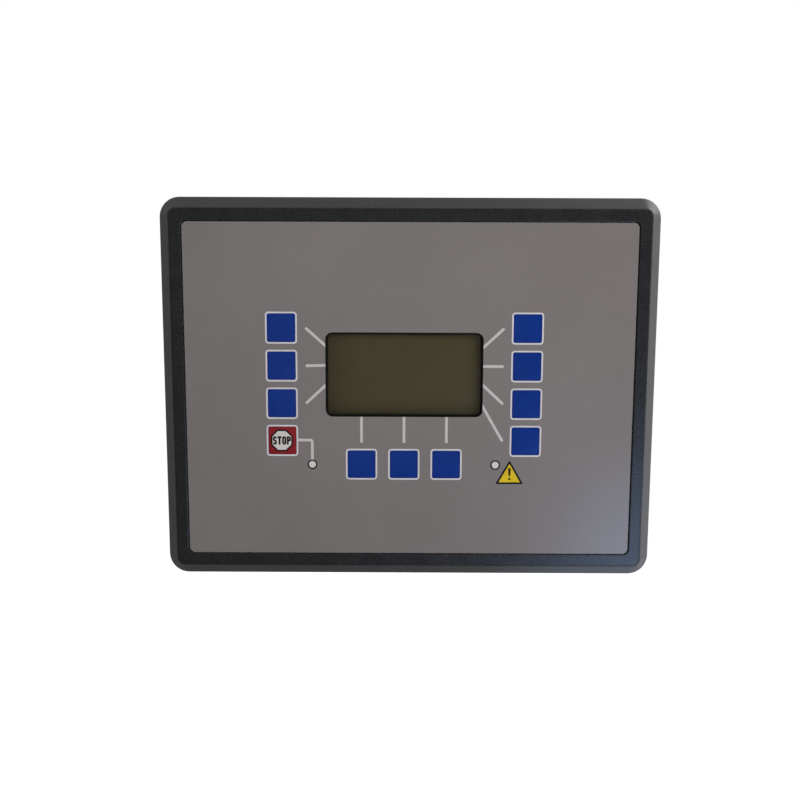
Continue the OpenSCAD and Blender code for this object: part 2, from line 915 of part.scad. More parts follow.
// fixed terminal for the current transformers, soldered to the board
module current_terminal() {
  color("#24262a")
    difference() {
      union() {
        block([current_x, -terminal_z], current_w - plug_side, plug_h, header_y, plug_end_y);
        block([current_x, -terminal_z], current_w - plug_side, header_h, main_board_back_y, header_y + cut);
      }
      for (i = [0:current_poles - 1]) {
        pole_x = current_x + (i - (current_poles - 1) / 2) * current_pitch;
        translate([pole_x, wire_y, -terminal_z - plug_h / 2])
          cube([wire_w, wire_h, 2 * wire_depth], center = true);
        rod([pole_x, well_set - terminal_z], well_r, plug_end_y - well_depth, plug_end_y + cut);
      }
    }
}

// open box soldered to the board, which takes a plug's nose
module plug_header(x, side, w) {
  difference() {
    block([x, side * terminal_z], w - plug_side, header_h, main_board_back_y, header_y);
    block([x, side * terminal_z], w - plug_side - 2 * header_wall, header_h - 2 * header_wall,
          main_board_back_y + header_floor, header_y + cut);
  }
}

module plug_headers() {
  color("#1a5a32") {
    plug_header(-signal_x, 1, signal_w);
    plug_header(signal_x, 1, signal_w);
    plug_header(-signal_x, -1, signal_w);
    plug_header(voltage_x, -1, voltage_w);
  }
}

// row of slotted clamp screws at the bottom of the wells
module clamp_screws(x, side, count, pitch) {
  seat = plug_end_y - well_depth;
  top = seat + clamp_screw_t;
  for (i = [0:count - 1]) {
    spot = [x + (i - (count - 1) / 2) * pitch, side * (terminal_z - well_set)];
    difference() {
      rod(spot, clamp_screw_r, seat, top);
      block(spot, 2 * well_r, clamp_slit_w, top - clamp_slit_d, top + cut);
    }
  }
}

module terminal_screws() {
  color("#c3c6ca") {
    clamp_screws(-signal_x, 1, poles, pole_pitch);
    clamp_screws(signal_x, 1, poles, pole_pitch);
    clamp_screws(-signal_x, -1, poles, pole_pitch);
    clamp_screws(voltage_x, -1, voltage_poles, voltage_pitch);
    clamp_screws(current_x, -1, current_poles, current_pitch);
  }
}

// modular jack whose mouth, with a notch for the plug's latch, lies in the housing's side wall
module service_socket() {
  color("#18181a")
    difference() {
      translate([socket_x, socket_y - socket_body_h / 2, socket_z - socket_body_w / 2])
        cube([socket_body_l, socket_body_h, socket_body_w]);
      translate([body_w / 2 - socket_depth, socket_y - socket_h / 2, socket_z - socket_w / 2])
        cube([socket_depth + cut, socket_h, socket_w]);
      translate([body_w / 2 - socket_depth, socket_y, socket_z - latch_w / 2])
        cube([socket_depth + cut, socket_h / 2 + latch_h, latch_w]);
    }
}

module relays() {
  color("#1f4f96")
    for (i = [0:relay_count - 1])
      block([(i - (relay_count - 1) / 2) * relay_pitch, relay_z], relay_size[0], relay_size[2],
            main_board_back_y, main_board_back_y + relay_size[1]);
}

// potted current transformers, each with the window of its core
module current_transformers() {
  color("#2b2d33")
    for (i = [0:ct_count - 1])
      difference() {
        block([ct_x + i * ct_pitch, ct_z], ct_w, ct_h, main_board_back_y, wound_part_end_y);
        rod([ct_x + i * ct_pitch, ct_z], ct_window_r, main_board_back_y + wall_t, wound_part_end_y + cut);
      }
}

module supply_transformer() {
  color("#6a5a2c")
    block([choke_x, choke_z], choke_w, choke_h, main_board_back_y, wound_part_end_y);
}

module supply_capacitors() {
  color("#2a2f4a")
    for (i = [0:cap_count - 1])
      rod([cap_x + i * cap_pitch, cap_z], cap_r, main_board_back_y, main_board_back_y + tall_part_t);
}

module processor() {
  color("#1a1a1c")
    block([chip_x, chip_z], chip_size, chip_size, main_board_y - chip_t, main_board_y);
}

module battery_holder() {
  color("#2c2c2e")
    difference() {
      block([cell_x, cell_z], cell_base, cell_base, cell_front_y, main_board_y);
      rod([cell_x, cell_z], cell_r + fit, cell_front_y - cut, cell_front_y + cell_t);
    }
}

module backup_battery() {
  color("#c8cacc")
    rod([cell_x, cell_z], cell_r, cell_front_y, cell_front_y + cell_t);
}

// flat cable with a slack bow between the two boards
module ribbon_cable() {
  middle_y = (ribbon_front_y + ribbon_back_y) / 2;
  color("#8c9096")
    translate([group_x - ribbon_w / 2, 0, 0])
      rotate([90, 0, 90])
        linear_extrude(height = ribbon_w)
          polygon([
            [ribbon_front_y, ribbon_z], [middle_y, ribbon_z - ribbon_bow], [ribbon_back_y, ribbon_z],
            [ribbon_back_y, ribbon_z + ribbon_t], [middle_y, ribbon_z + ribbon_t - ribbon_bow],
            [ribbon_front_y, ribbon_z + ribbon_t]
          ]);
}

module ribbon_sockets() {
  color("#202022") {
    block([group_x, ribbon_z], ribbon_socket_w, ribbon_socket_h, front_board_back_y, ribbon_front_y);
    block([group_x, ribbon_z], ribbon_socket_w, ribbon_socket_h, ribbon_back_y, main_board_y);
  }
}

front_frame();
keypad_overlay();
display_window();
display_seal();
lcd_frame();
lcd_glass();
lcd_backlight();
lcd_board();
lcd_screws();
softkey(left_spot(0));  // softkey_left_1
softkey(left_spot(1));  // softkey_left_2
softkey(left_spot(2));  // softkey_left_3
stop_key();
softkey(bottom_spot(0));  // softkey_bottom_1
softkey(bottom_spot(1));  // softkey_bottom_2
softkey(bottom_spot(2));  // softkey_bottom_3
softkey(right_spot(0));  // softkey_right_1
softkey(right_spot(1));  // softkey_right_2
softkey(right_spot(2));  // softkey_right_3
softkey(right_spot(3));  // softkey_right_4
key_switches();
lamp_lens(lamp_spots[0]);  // stop_lamp_lens
lamp_lens(lamp_spots[1]);  // alarm_lamp_lens
indicator_leds();
front_board();
front_board_screws();
panel_gasket();
thread_inserts();
rear_housing();
housing_screws();
main_board();
main_board_screws();
signal_plug(-signal_x, 1);  // terminal_plug_top_left
signal_plug(signal_x, 1);  // terminal_plug_top_right
signal_plug(-signal_x, -1);  // terminal_plug_bottom_left
voltage_plug();
current_terminal();
plug_headers();
terminal_screws();
service_socket();
relays();
current_transformers();
supply_transformer();
supply_capacitors();
processor();
backup_battery();
battery_holder();
ribbon_cable();
ribbon_sockets();
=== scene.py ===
"""Looks of a flush-mount generator-set controller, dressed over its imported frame.

X runs right, Y into the panel and Z up, in metres. Sizes below are in millimetres and are turned by MM.
"""
import math

import bmesh
import bpy
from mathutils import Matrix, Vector


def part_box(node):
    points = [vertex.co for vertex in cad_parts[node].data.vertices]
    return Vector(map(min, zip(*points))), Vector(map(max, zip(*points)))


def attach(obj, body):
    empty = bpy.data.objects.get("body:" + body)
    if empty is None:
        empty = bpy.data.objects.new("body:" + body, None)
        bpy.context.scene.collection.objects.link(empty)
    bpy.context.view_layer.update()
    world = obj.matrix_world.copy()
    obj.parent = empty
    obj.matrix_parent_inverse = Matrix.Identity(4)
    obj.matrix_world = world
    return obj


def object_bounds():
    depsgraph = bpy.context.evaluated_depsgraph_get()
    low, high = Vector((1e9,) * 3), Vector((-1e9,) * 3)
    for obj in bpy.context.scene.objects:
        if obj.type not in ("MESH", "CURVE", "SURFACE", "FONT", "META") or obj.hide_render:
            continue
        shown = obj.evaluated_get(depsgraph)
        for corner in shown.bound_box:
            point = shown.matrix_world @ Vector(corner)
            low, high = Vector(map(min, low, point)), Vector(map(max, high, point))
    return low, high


MM = 0.001
X, Y, Z = 0, 1, 2

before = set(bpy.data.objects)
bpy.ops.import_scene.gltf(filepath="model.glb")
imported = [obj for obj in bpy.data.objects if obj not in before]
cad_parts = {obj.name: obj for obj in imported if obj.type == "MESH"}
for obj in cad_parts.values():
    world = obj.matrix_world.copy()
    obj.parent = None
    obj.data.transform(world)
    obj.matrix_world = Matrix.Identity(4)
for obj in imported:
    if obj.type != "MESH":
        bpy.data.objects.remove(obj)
cad_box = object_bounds()

SOFT_KEYS = [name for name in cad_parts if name.startswith("softkey")]
KEYS = SOFT_KEYS + ["stop_key"]
BODY = "unit"
# rim of the display window that the overlay hides, and the corners of the opening that it leaves
WINDOW_LEDGE = 3.0
WINDOW_CORNER_R = 4.0


def middle(node_name):
    """Middle of a CAD node in X and Z, in millimetres."""
    low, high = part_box(node_name)
    return (low.x + high.x) / 2 / MM, (low.z + high.z) / 2 / MM


def front_of(node_name):
    """How far forward a CAD node reaches, as its lowest Y in millimetres."""
    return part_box(node_name)[0].y / MM


# Materials

# noise stays mostly between these values, so a range is spread over them
NOISE_LOW = 0.3
NOISE_HIGH = 0.7


def linear(hex_colour):
    """An sRGB hex colour as linear red, green, blue and alpha."""
    channels = [int(hex_colour[i:i + 2], 16) / 255 for i in (1, 3, 5)]
    return [c / 12.92 if c <= 0.04045 else ((c + 0.055) / 1.055) ** 2.4 for c in channels] + [1.0]


def add(tree, kind, inputs=None, **settings):
    """Adds a node with its settings; each input is a value, or another node's output to link."""
    made = tree.nodes.new("ShaderNode" + kind)
    for key, value in settings.items():
        setattr(made, key, value)
    for socket, value in (inputs or {}).items():
        if isinstance(value, bpy.types.NodeSocket):
            tree.links.new(value, made.inputs[socket])
        else:
            made.inputs[socket].default_value = value
    return made


def new_material(name):
    """An empty material and its node tree."""
    material = bpy.data.materials.new(name)
    material.use_nodes = True
    material.node_tree.nodes.clear()
    return material, material.node_tree


def per_metre(size_mm):
    """Noise scale at which one feature measures about this many millimetres."""
    return 1 / (size_mm * MM)


def surface(name, shades, roughness, grain_mm, relief_mm, drift_mm=14, speckle=0.35, edge_mm=0,
            sheen=None, **shader):
    """Moulded, printed or plated surface: two shades that drift and speckle, and a grain in relief.

    roughness is its range over the grain. edge_mm is the radius to which the mould or cutter broke
    the sharp edges. sheen, where given, is the range of reflection from the grain's hollows to its tips.
    """
    material, tree = new_material(name)
    place = add(tree, "TexCoord").outputs["Object"]
    drift = add(tree, "TexNoise", {"Vector": place, "Scale": per_metre(drift_mm), "Detail": 3.0})
    grain = add(tree, "TexNoise", {"Vector": place, "Scale": per_metre(grain_mm), "Detail": 2.0})
    grain_range = {0: grain.outputs[0], 1: NOISE_LOW, 2: NOISE_HIGH}
    blend = add(tree, "Mix", {0: speckle, 2: drift.outputs[0], 3: grain.outputs[0]}, data_type="FLOAT")
    spread = add(tree, "MapRange", {0: blend.outputs[0], 1: NOISE_LOW, 2: NOISE_HIGH, 3: 0.0, 4: 1.0})
    shade = add(tree, "Mix", {0: spread.outputs[0], 6: linear(shades[0]), 7: linear(shades[1])},
                data_type="RGBA")
    rough = add(tree, "MapRange", {**grain_range, 3: roughness[0], 4: roughness[1]})
    relief = add(tree, "Bump", {"Height": grain.outputs[0], "Strength": 0.6, "Distance": relief_mm * MM})
    if edge_mm:
        soft_edge = add(tree, "Bevel", {"Radius": edge_mm * MM}, samples=4)
        tree.links.new(soft_edge.outputs[0], relief.inputs["Normal"])
    inputs = {"Base Color": shade.outputs[2], "Roughness": rough.outputs[0], "Normal": relief.outputs[0]}
    if sheen:
        tips = add(tree, "MapRange", {**grain_range, 3: sheen[0], 4: sheen[1]})
        inputs["Specular IOR Level"] = tips.outputs[0]
    inputs.update(shader)
    bsdf = add(tree, "BsdfPrincipled", inputs)
    add(tree, "OutputMaterial", {"Surface": bsdf.outputs[0]})
    return material


def screen_ink(colour, shades, roughness=(0.3, 0.4)):
    """Screen-printed ink: opaque and satin, a little uneven where the mesh left its mark."""
    return surface("screen_ink_" + colour, shades, roughness, grain_mm=0.3, relief_mm=0.006, drift_mm=5,
                   IOR=1.5)


# ABS moulded in a spark-eroded tool: near black, with a fine even grain that breaks up its sheen.
# The grain is drawn at 1.1 mm because the real one is too fine to show.
ABS_SPARK_GRAIN = surface(
    "abs_spark_grain_black", ("#1c1c1d", "#262627"), roughness=(0.25, 0.31), grain_mm=1.1,
    relief_mm=0.045, speckle=0.5, edge_mm=1.0, sheen=(0.56, 0.8), IOR=1.53)
# ABS of the housing behind the panel: the same black, moulded duller. Its grain is drawn at 0.8 mm, again
# coarser than the real one so that it shows.
ABS_HOUSING = surface(
    "abs_moulded_housing", ("#1c1c1d", "#272728"), roughness=(0.48, 0.64), grain_mm=0.8,
    relief_mm=0.06, edge_mm=0.5, IOR=1.53)
# Polyester film, printed on its back and textured in front: an even satin grey with a very fine tooth,
# drawn at 0.9 mm because the real one is too fine to show.
POLYESTER_GREY = surface(
    "polyester_film_grey", ("#6a6564", "#726d6c"), roughness=(0.21, 0.27), grain_mm=0.9,
    relief_mm=0.02, drift_mm=60, speckle=0.5, edge_mm=0.3, IOR=1.6)
# The same film over the key fields, printed blue or red: a deep, even colour, and on the blue a weaker
# sheen. Its tooth is drawn at 0.4 mm, as fine as still shows on a key.
POLYESTER_BLUE = surface(
    "polyester_film_blue", ("#02246b", "#032a77"), roughness=(0.27, 0.34), grain_mm=0.4,
    relief_mm=0.012, drift_mm=8, sheen=(0.26, 0.34), IOR=1.5)
POLYESTER_RED = surface(
    "polyester_film_red", ("#6e0f16", "#7a141b"), roughness=(0.28, 0.36), grain_mm=0.4,
    relief_mm=0.012, drift_mm=8, IOR=1.5)
# Inks of the printed marks: pale and grey lines, and the plain colours of the signs. The mesh's mark is drawn
# at 0.3 mm because a real mesh is too fine to show.
INK_PALE = screen_ink("pale", ("#b2afb6", "#c0bdc4"))
INK_LINE = screen_ink("line_grey", ("#a6a3a2", "#b1aead"))
INK_BLACK = screen_ink("black", ("#060606", "#0c0c0b"), roughness=(0.55, 0.65))
INK_WHITE = screen_ink("white", ("#b4afac", "#bfbab7"))
INK_YELLOW = screen_ink("yellow", ("#b89f08", "#c4aa0e"))
# Closed-cell foam of the gaskets: dead matt, with cells that show as small pits.
EPDM_FOAM = surface(
    "epdm_foam_cut", ("#141414", "#1f1f1f"), roughness=(0.85, 0.95), grain_mm=0.7, relief_mm=0.2,
    IOR=1.45)
# Blackened steel sheet of the display frame: black and half matt, without a metal's glint.
STEEL_BLACKENED = surface(
    "steel_sheet_blackened", ("#0b0b0a", "#131311"), roughness=(0.45, 0.6), grain_mm=0.9,
    relief_mm=0.01, IOR=1.5)
# Frosted acrylic that spreads the light behind the display: milky and matt.
ACRYLIC_FROSTED = surface(
    "acrylic_frosted", ("#d2d6c6", "#dde0d2"), roughness=(0.6, 0.7), grain_mm=0.5, relief_mm=0.01,
    IOR=1.49)
# Glass-filled nylon of sockets, switches and chip packages: black, dulled by its fibres.
NYLON_BLACK = surface(
    "nylon_glass_filled_black", ("#141415", "#1e1e20"), roughness=(0.5, 0.65), grain_mm=0.6,
    relief_mm=0.03, edge_mm=0.3, IOR=1.53)
# Polycarbonate light guides of the lamps: milky white, moulded smooth.
POLYCARBONATE_WHITE = surface(
    "polycarbonate_opal", ("#b4b1af", "#c0bdbb"), roughness=(0.22, 0.3), grain_mm=1.0,
    relief_mm=0.004, drift_mm=3, IOR=1.58)
# Polyamide of the plug-in terminals: a flat mid green with faint flow marks.
POLYAMIDE_GREEN = surface(
    "polyamide_green_moulded", ("#17613a", "#1f7046"), roughness=(0.4, 0.55), grain_mm=0.9,
    relief_mm=0.02, drift_mm=9, edge_mm=0.3, IOR=1.53)
# Moulded polyester of the relay cases: an even, slightly glossy blue.
PBT_BLUE = surface(
    "pbt_relay_blue", ("#1b4a90", "#22559f"), roughness=(0.35, 0.45), grain_mm=0.9, relief_mm=0.01,
    IOR=1.55)
# Tape round the transformer's windings: glossy amber, creased where it was wound.
WINDING_TAPE = surface(
    "polyester_winding_tape", ("#685729", "#776534"), roughness=(0.3, 0.5), grain_mm=2.5,
    relief_mm=0.05, IOR=1.5)
# Shrink sleeve of the capacitors: dark blue with a tight gloss.
SLEEVE = surface(
    "pvc_shrink_sleeve", ("#242a46", "#2c3354"), roughness=(0.3, 0.4), grain_mm=1.5, relief_mm=0.02,
    IOR=1.53)
# Ribbon cable: grey vinyl, ribbed about as finely as its cores are spaced.
RIBBON = surface(
    "pvc_ribbon_grey", ("#858a90", "#949aa0"), roughness=(0.45, 0.55), grain_mm=1.27, relief_mm=0.1,
    IOR=1.53)
# Zinc-plated steel of screws and cages: pale and cool. Turned brass: warm, with fine tool marks.
STEEL_ZINC = surface(
    "steel_zinc_plated", ("#a9acb0", "#bfc2c6"), roughness=(0.28, 0.42), grain_mm=0.5,
    relief_mm=0.008, drift_mm=2, Metallic=1.0)
BRASS_TURNED = surface(
    "brass_turned", ("#a58342", "#b99653"), roughness=(0.25, 0.4), grain_mm=0.4, relief_mm=0.01,
    drift_mm=2, Metallic=1.0)
# Gold plating of the contact springs: brighter than brass and smooth.
GOLD_PLATE = surface(
    "gold_plated_contact", ("#c9a255", "#d8b266"), roughness=(0.2, 0.3), grain_mm=0.4,
    relief_mm=0.004, drift_mm=2, Metallic=1.0)


def epoxy_board():
    """Glass-epoxy board under green solder resist, with paler lines where copper runs beneath."""
    track_pitch, weave_pitch, copper_t = 9, 0.9, 0.03
    material, tree = new_material("epoxy_board_solder_resist")
    place = add(tree, "TexCoord").outputs["Object"]
    turned = add(tree, "Mapping", {"Vector": place, "Rotation": (math.pi / 2, 0, 0)})
    tracks = add(tree, "TexBrick", {
        "Vector": turned.outputs[0], "Scale": per_metre(track_pitch), "Mortar Size": 0.06,
        "Color1": linear("#14502c"), "Color2": linear("#185832"), "Mortar": linear("#2b7a48")})
    weave = add(tree, "TexNoise", {"Vector": place, "Scale": per_metre(weave_pitch), "Detail": 2.0})
    rough = add(tree, "MapRange", {0: weave.outputs[0], 1: NOISE_LOW, 2: NOISE_HIGH, 3: 0.25, 4: 0.4})
    relief = add(tree, "Bump", {"Height": tracks.outputs["Fac"], "Strength": 0.4,
                                "Distance": copper_t * MM})
    bsdf = add(tree, "BsdfPrincipled", {"Base Color": tracks.outputs[0], "Roughness": rough.outputs[0],
                                        "Normal": relief.outputs[0], "IOR": 1.55})
    add(tree, "OutputMaterial", {"Surface": bsdf.outputs[0]})
    return material


def acrylic_pane():
    """Clear cast acrylic: what lies behind shows through, faintly smeared, under an even gloss."""
    smear_mm, head_on_mirror = 18, 0.04
    material, tree = new_material("acrylic_pane_cast")
    place = add(tree, "TexCoord").outputs["Object"]
    smear = add(tree, "TexNoise", {"Vector": place, "Scale": per_metre(smear_mm), "Detail": 4.0})
    tint = add(tree, "Mix", {0: smear.outputs[0], 6: linear("#f8f8f6"), 7: linear("#fefefc")},
               data_type="RGBA")
    gloss = add(tree, "BsdfGlossy", {"Roughness": 0.24})
    clear = add(tree, "BsdfTransparent", {"Color": tint.outputs[2]})
    # both faces mirror a little head-on and more at a slant, by Schlick's rule
    slant = add(tree, "LayerWeight", {"Blend": 0.5}).outputs["Facing"]
    steep = add(tree, "Math", {0: slant, 1: 5.0}, operation="POWER")
    mirror = add(tree, "MapRange", {0: steep.outputs[0], 1: 0.0, 2: 1.0, 3: head_on_mirror, 4: 1.0})
    both = add(tree, "MixShader", {0: mirror.outputs[0], 1: clear.outputs[0], 2: gloss.outputs[0]})
    add(tree, "OutputMaterial", {"Surface": both.outputs[0]})
    return material


def inside_rounded_box(tree, place, centre, half_w, half_h, r):
    """Distance from a point to the edge of an upright rounded rectangle, positive inside, in metres."""
    from_middle = add(tree, "VectorMath", {0: place, 1: centre}, operation="SUBTRACT")
    reach = add(tree, "VectorMath", {0: from_middle.outputs[0]}, operation="ABSOLUTE")
    past = add(tree, "VectorMath", {0: reach.outputs[0], 1: (half_w - r, 1.0, half_h - r)},
               operation="SUBTRACT")
    corner = add(tree, "VectorMath", {0: past.outputs[0], 1: (0, 0, 0)}, operation="MAXIMUM")
    round_part = add(tree, "VectorMath", {0: corner.outputs[0]}, operation="LENGTH")
    axes = add(tree, "SeparateXYZ", {0: past.outputs[0]})
    nearer = add(tree, "Math", {0: axes.outputs[X], 1: axes.outputs[Z]}, operation="MAXIMUM")
    flat_part = add(tree, "Math", {0: nearer.outputs[0], 1: 0.0}, operation="MINIMUM")
    both = add(tree, "Math", {0: round_part.outputs["Value"], 1: flat_part.outputs[0]}, operation="ADD")
    return add(tree, "Math", {0: r, 1: both.outputs[0]}, operation="SUBTRACT").outputs[0]


def lcd_cell():
    """Unlit liquid-crystal cell: olive behind its polariser, with a pixel grid, a dark rim that is partly its
    border and partly painted shade, and painted shadow along three of its edges.
    """
    pixel_pitch = 0.62
    # dark rim under the opening's edge, partly the cell's dark border and partly painted shade: where it
    # starts and ends, and the share of colour at its start
    rim_start, rim_end, rim_border_and_shade_share = -0.2, 1.8, 0.08
    # painted shadow that the opening's edge casts along a side: its axis, which end, how deep it reaches and
    # the share of colour at its start
    painted_edge_shadows = ((X, -1, 18, 0.64), (X, 1, 10, 0.85), (Z, -1, 8, 0.52))
    material, tree = new_material("lcd_cell_polarised")
    low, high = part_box("display_window")
    centre = (low + high) / 2
    half = (high - low) / 2 - Vector((WINDOW_LEDGE,) * 3) * MM
    place = add(tree, "TexCoord").outputs["Object"]
    inside = inside_rounded_box(tree, place, centre, half.x, half.z, WINDOW_CORNER_R * MM)
    share = add(tree, "MapRange", {0: inside, 1: rim_start * MM, 2: rim_end * MM, 3: rim_border_and_shade_share, 4: 1.0},
                interpolation_type="SMOOTHSTEP").outputs[0]
    axes = add(tree, "SeparateXYZ", {0: place})
    for axis, end, depth, shadow_start_share in painted_edge_shadows:
        edge = centre[axis] + end * half[axis]
        away = add(tree, "MapRange", {0: axes.outputs[axis], 1: edge, 2: edge - end * depth * MM,
                                      3: shadow_start_share, 4: 1.0})
        share = add(tree, "Math", {0: share, 1: away.outputs[0]}, operation="MULTIPLY").outputs[0]
    turned = add(tree, "Mapping", {"Vector": place, "Rotation": (math.pi / 2, 0, 0)})
    pixels = add(tree, "TexBrick", {
        "Vector": turned.outputs[0], "Scale": per_metre(pixel_pitch), "Mortar Size": 0.06,
        "Brick Width": 1.0, "Row Height": 1.0, "Color1": linear("#49412a"), "Color2": linear("#4b432b"),
        "Mortar": linear("#403925")}, offset=0.0)
    # near-black colour towards which the painted rim shade and edge shadows darken the pixels
    shade = add(tree, "Mix", {0: share, 6: linear("#080806"), 7: pixels.outputs[0]}, data_type="RGBA")
    bsdf = add(tree, "BsdfPrincipled", {"Base Color": shade.outputs[2], "Roughness": 0.32, "IOR": 1.5})
    add(tree, "OutputMaterial", {"Surface": bsdf.outputs[0]})
    return material


# Finishes of the CAD nodes

FINISHES = {
    ABS_SPARK_GRAIN: ["front_frame"],
    ABS_HOUSING: ["rear_housing"],
    POLYESTER_GREY: ["keypad_overlay"],
    POLYESTER_BLUE: SOFT_KEYS,
    POLYESTER_RED: ["stop_key"],
    acrylic_pane(): ["display_window"],
    lcd_cell(): ["lcd_glass"],
    STEEL_BLACKENED: ["lcd_frame"],
    ACRYLIC_FROSTED: ["lcd_backlight"],
    POLYCARBONATE_WHITE: ["stop_lamp_lens", "alarm_lamp_lens", "indicator_leds"],
    EPDM_FOAM: ["display_seal", "panel_gasket"],
    epoxy_board(): ["lcd_board", "front_board", "main_board"],
    NYLON_BLACK: ["key_switches", "service_socket", "current_terminal", "current_transformers",
                  "processor", "battery_holder", "ribbon_sockets"],
    POLYAMIDE_GREEN: ["terminal_plug_top_left", "terminal_plug_top_right", "terminal_plug_bottom_left",
                      "voltage_plug", "plug_headers"],
    STEEL_ZINC: ["lcd_screws", "front_board_screws", "housing_screws", "main_board_screws",
                 "terminal_screws", "backup_battery"],
    BRASS_TURNED: ["thread_inserts"],
    PBT_BLUE: ["relays"],
    WINDING_TAPE: ["supply_transformer"],
    SLEEVE: ["supply_capacitors"],
    RIBBON: ["ribbon_cable"],
}
for finish, node_names in FINISHES.items():
    for node_name in node_names:
        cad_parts[node_name].material_slots[0].material = finish


# Printed marks on the overlay

INK_T = 0.03
OVERLAY_Y = front_of("keypad_overlay")
KEY_OUTLINE = 17.8
KEY_OUTLINE_R = 1.9
KEY_OUTLINE_T = 0.9
POINTER_W = 1.55
# where a pointer starts beside its key, and the heights at which the pointers meet the display's edge
POINTER_START = {"left": 13.6, "right": 13.15}
POINTER_ENDS = {"left": (25.7, 14.6, 3.3), "right": (24.9, 14.3, 3.7, -8.3)}
LOWER_POINTER_END = 12.4
# line that leads from the stop key to its lamp: its bend and its height above the key's middle
LEAD_BEND_R = 1.2
LEAD_RISE = 0.27
LAMP_RING_R = 2.8
LAMP_RING_HOLE_R = 2.0
# alarm sign: from the lamp to the middle of the sign's base, then its edges, corners and mark
ALARM_SIGN_SHIFT = (8.15, -10.95)
ALARM_SIGN_SIDE = 15.8
ALARM_SIGN_BORDER = 1.0
ALARM_SIGN_R = 0.35
ALARM_FIELD_R = 0.15
ALARM_BAR_Z = (4.6, 9.2)
ALARM_BAR_HALF_W = (0.45, 0.8)
ALARM_DOT_Z = 3.0
ALARM_DOT_R = 0.7
# stop sign: it sits a little left of the key's middle
STOP_SIGN_SHIFT = -0.3
STOP_SIGN_ACROSS = 12.4
STOP_FIELD_ACROSS = 10.7
LETTER_H = 4.8
LETTER_W = 2.35
LETTER_GAP = 0.3
LETTER_T = 1.02


def arc(x, z, r, start, end, steps):
    """Points on an arc, angles in degrees from +X towards +Z."""
    angles = [math.radians(start + (end - start) * i / steps) for i in range(steps + 1)]
    return [(x + r * math.cos(a), z + r * math.sin(a)) for a in angles]


def circle(x, z, r, points=24):
    """Points round a full circle."""
    return arc(x, z, r, 0, 360 - 360 / points, points - 1)


def rounded_box(x, z, w, h, r, steps=6):
    """Outline of a rounded rectangle round a middle point."""
    outline = []
    for sx, sz, start in ((1, 1, 0), (-1, 1, 90), (-1, -1, 180), (1, -1, 270)):
        outline += arc(x + sx * (w / 2 - r), z + sz * (h / 2 - r), r, start, start + 90, steps)
    return outline


def stroke(path, width):
    """Outline of a line of even width along a path, with square ends and mitred bends."""
    sharpest_mitre = 0.3
    left, right = [], []
    for i, (x, z) in enumerate(path):
        before = Vector(path[i]) - Vector(path[i - 1]) if i else None
        after = Vector(path[i + 1]) - Vector(path[i]) if i + 1 < len(path) else None
        before, after = (before or after).normalized(), (after or before).normalized()
        side = Vector((-(before + after).y, (before + after).x)).normalized()
        reach = width / 2 / max(side.dot(Vector((-after.y, after.x))), sharpest_mitre)
        left.append((x + side.x * reach, z + side.y * reach))
        right.append((x - side.x * reach, z - side.y * reach))
    return left + right[::-1]


def add_piece(name, mesh, finish, body):
    """Turns mesh work into a piece that rides on a body and takes its finish from a slot."""
    bmesh.ops.recalc_face_normals(mesh, faces=mesh.faces)
    data = bpy.data.meshes.new(name)
    mesh.to_mesh(data)
    mesh.free()
    piece = bpy.data.objects.new(name, data)
    bpy.context.scene.collection.objects.link(piece)
    data.materials.append(finish)
    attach(piece, body)


def print_on(name, front_y, ink, shapes, body=BODY):
    """One printed mark: each shape is an outline, or an outline and a hole with as many points."""
    mesh = bmesh.new()
    for shape in shapes:
        outline, hole = shape if isinstance(shape, tuple) else (shape, None)
        loops = [[mesh.verts.new((x * MM, front_y * MM, z * MM)) for x, z in loop]
                 for loop in (outline, hole) if loop]
        if hole:
            for i in range(len(outline)):
                mesh.faces.new((loops[0][i - 1], loops[0][i], loops[1][i], loops[1][i - 1]))
        else:
            mesh.faces.new(loops[0])
    edges = [edge for edge in mesh.edges if edge.is_boundary]
    walls = bmesh.ops.extrude_edge_only(mesh, edges=edges)["geom"]
    for item in walls:
        if isinstance(item, bmesh.types.BMVert):
            item.co.y += INK_T * MM
    add_piece(name, mesh, ink, body)


def key_outlines():
    """Pale frame round every key field."""
    inner = KEY_OUTLINE - 2 * KEY_OUTLINE_T
    shapes = []
    for key in KEYS:
        x, z = middle(key)
        shapes.append((rounded_box(x, z, KEY_OUTLINE, KEY_OUTLINE, KEY_OUTLINE_R),
                       rounded_box(x, z, inner, inner, KEY_OUTLINE_R - KEY_OUTLINE_T)))
    print_on("key_outlines", OVERLAY_Y - INK_T, INK_PALE, shapes)


def line_to_edge(start, end):
    """Outline of a pointer line whose far end is cut upright along the display's edge."""
    run = (Vector(end) - Vector(start)).normalized()
    side = Vector((-run.y, run.x)) * POINTER_W / 2
    tails = [Vector(start) + side, Vector(start) - side]
    tips = [tail + run * (end[0] - tail.x) / run.x for tail in tails]
    return [tuple(point) for point in (tails[0], tips[0], tips[1], tails[1])]


